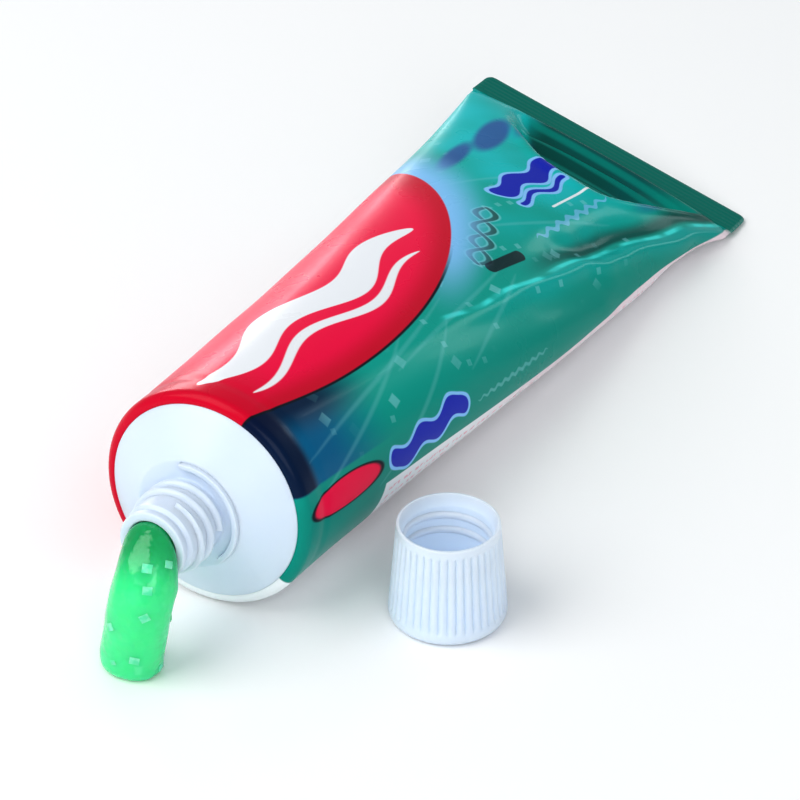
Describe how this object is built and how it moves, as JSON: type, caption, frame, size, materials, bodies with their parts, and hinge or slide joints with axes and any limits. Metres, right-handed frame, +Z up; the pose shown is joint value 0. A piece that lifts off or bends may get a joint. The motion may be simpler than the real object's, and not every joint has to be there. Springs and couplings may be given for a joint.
{
  "type": "toothpaste tube",
  "caption": "Laminate toothpaste tube lying open on its side, crimped at the tail, with gel run out of its threaded nozzle and its fluted screw cap stood beside it.",
  "frame": {"origin": "middle of the footprint of the tube, ribbon and cap, on the surface that they lie on", "axes": "+Z up, +Y along the tube towards its crimped tail, +X towards the side that the cap stands on"},
  "size_m": [0.0684, 0.1658, 0.0351],
  "materials": {
    "laminate": "printed laminate with a gloss varnish, red, navy, green and white fields",
    "white_plastic": "satin moulded polyethylene",
    "gel": "wet translucent green gel with pale film flakes"
  },
  "bodies": {
    "root": {"sleeve": "laminate", "head": "white_plastic", "cap": "white_plastic", "gel": "gel"}
  },
  "joints": []
}
